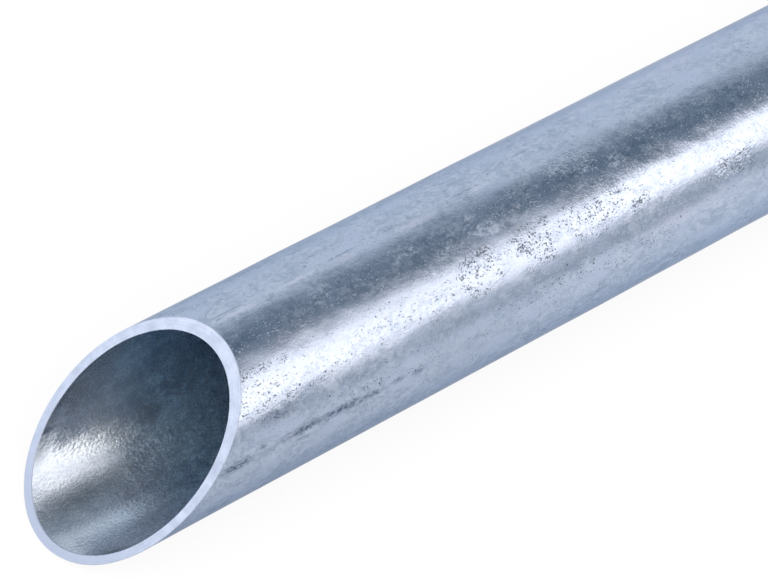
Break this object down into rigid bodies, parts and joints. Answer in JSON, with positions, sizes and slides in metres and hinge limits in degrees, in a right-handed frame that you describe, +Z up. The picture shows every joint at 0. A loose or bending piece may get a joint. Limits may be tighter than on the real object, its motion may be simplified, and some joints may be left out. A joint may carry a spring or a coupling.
{
  "type": "galvanised steel tube",
  "caption": "Straight round steel tube with a hot-dip zinc coat inside and out, sawn to a mitre at one end and square at the other, for posts, rails and frames.",
  "frame": {"origin": "on the floor under the tube's axis, halfway along its length", "axes": "+X along the tube from its mitred end to its square end, +Z up, with the mitre's long side down"},
  "size_m": [0.9996, 0.0604, 0.0603],
  "materials": {
    "galvanised_steel": "hot-dip zinc, cool grey, half bright with fine pits and grains, longitudinal drag marks and bare sawn ends"
  },
  "bodies": {
    "root": {"steel_tube": "galvanised_steel"}
  },
  "joints": []
}
